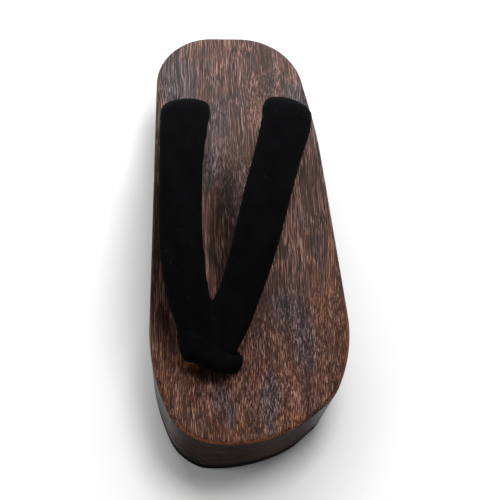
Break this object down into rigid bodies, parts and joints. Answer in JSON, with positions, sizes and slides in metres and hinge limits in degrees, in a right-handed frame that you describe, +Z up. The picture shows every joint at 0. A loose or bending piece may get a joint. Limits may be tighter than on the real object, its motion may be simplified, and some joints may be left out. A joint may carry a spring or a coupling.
{
  "type": "geta sandal",
  "caption": "Japanese wooden clog for the left foot: a charred board with bevelled toe and hollowed arch, padded black velvet thong straps and rubber soles.",
  "frame": {"origin": "centre of the footprint, on the ground", "axes": "+Z up, -Y towards the toe, -X towards the big-toe side"},
  "size_m": [0.1091, 0.265, 0.0814],
  "materials": {
    "charred_wood": "charred, brushed paulownia under a satin varnish",
    "velvet": "black velvet over padding",
    "rubber": "matt black sheet rubber",
    "cord": "twisted black cotton cord"
  },
  "bodies": {
    "root": {"dai": "charred_wood", "hanao": "velvet", "maetsubo": "velvet", "sole_front": "rubber", "sole_heel": "rubber", "knot_front": "cord", "knot_rear_medial": "cord", "knot_rear_lateral": "cord"}
  },
  "joints": []
}
